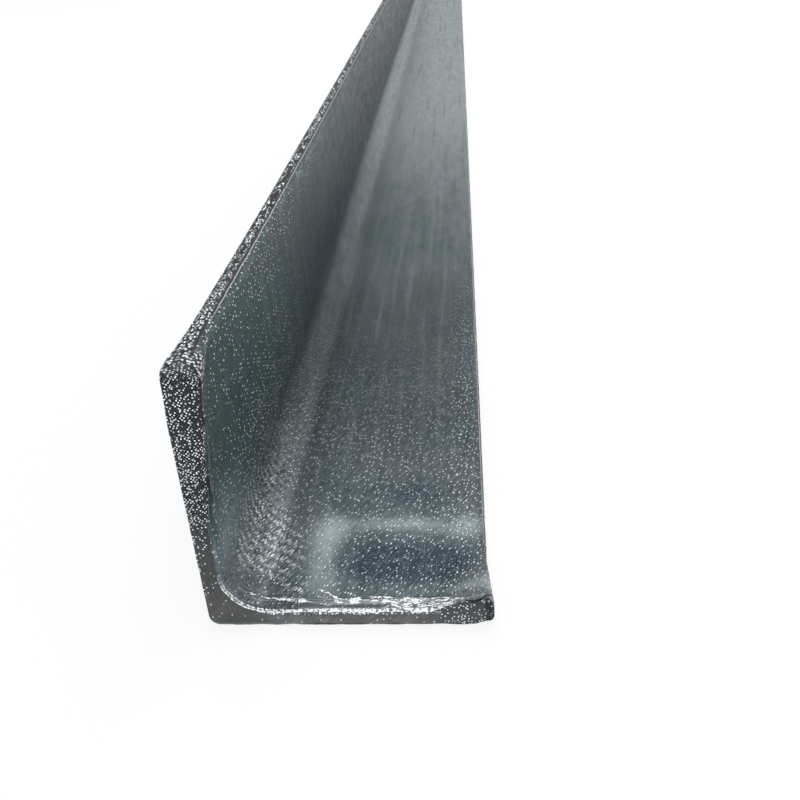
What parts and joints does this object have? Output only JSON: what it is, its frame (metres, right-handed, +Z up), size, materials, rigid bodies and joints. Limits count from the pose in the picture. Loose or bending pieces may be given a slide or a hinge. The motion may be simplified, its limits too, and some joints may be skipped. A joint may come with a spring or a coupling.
{
  "type": "steel angle",
  "caption": "Straight L-section steel bar with equal legs, a rounded inner corner and sheared, zinc-coated ends, for frames, brackets and edging.",
  "frame": {"origin": "middle of the face that the bar lies on, at mid length", "axes": "+Y along the bar, away from the end with the swollen toes; +X from the heel to the flat leg's toe; +Z up along the upright leg"},
  "size_m": [0.05, 1, 0.05],
  "materials": {
    "galvanised_steel": "hot-dip galvanised after cutting, dull blue-grey with fine bright specks, crusty zinc at the cut ends"
  },
  "bodies": {
    "root": {"angle_bar": "galvanised_steel"}
  },
  "joints": []
}
